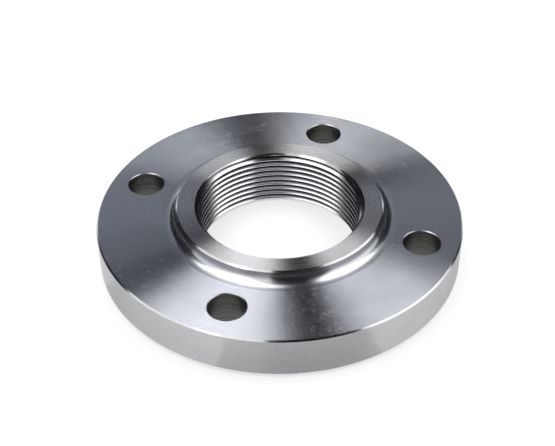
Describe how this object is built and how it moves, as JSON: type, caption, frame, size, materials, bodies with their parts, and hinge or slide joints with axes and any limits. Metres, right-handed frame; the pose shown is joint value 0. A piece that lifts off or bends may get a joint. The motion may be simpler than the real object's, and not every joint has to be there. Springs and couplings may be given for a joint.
{
  "type": "threaded flange",
  "caption": "Round steel pipe flange with a raised face, a low hub, a tapered female pipe thread and a circle of bolt holes.",
  "frame": {"origin": "centre of the raised sealing face, the lowest face, on the bore axis", "axes": "+Z along the bore axis, from the sealing face up to the hub's mouth; +X and +Y run midway between bolt holes"},
  "size_m": [0.1906, 0.1906, 0.0302],
  "materials": {
    "machined_steel": "turned and lightly polished, bare"
  },
  "bodies": {
    "root": {"flange": "machined_steel"}
  },
  "joints": []
}
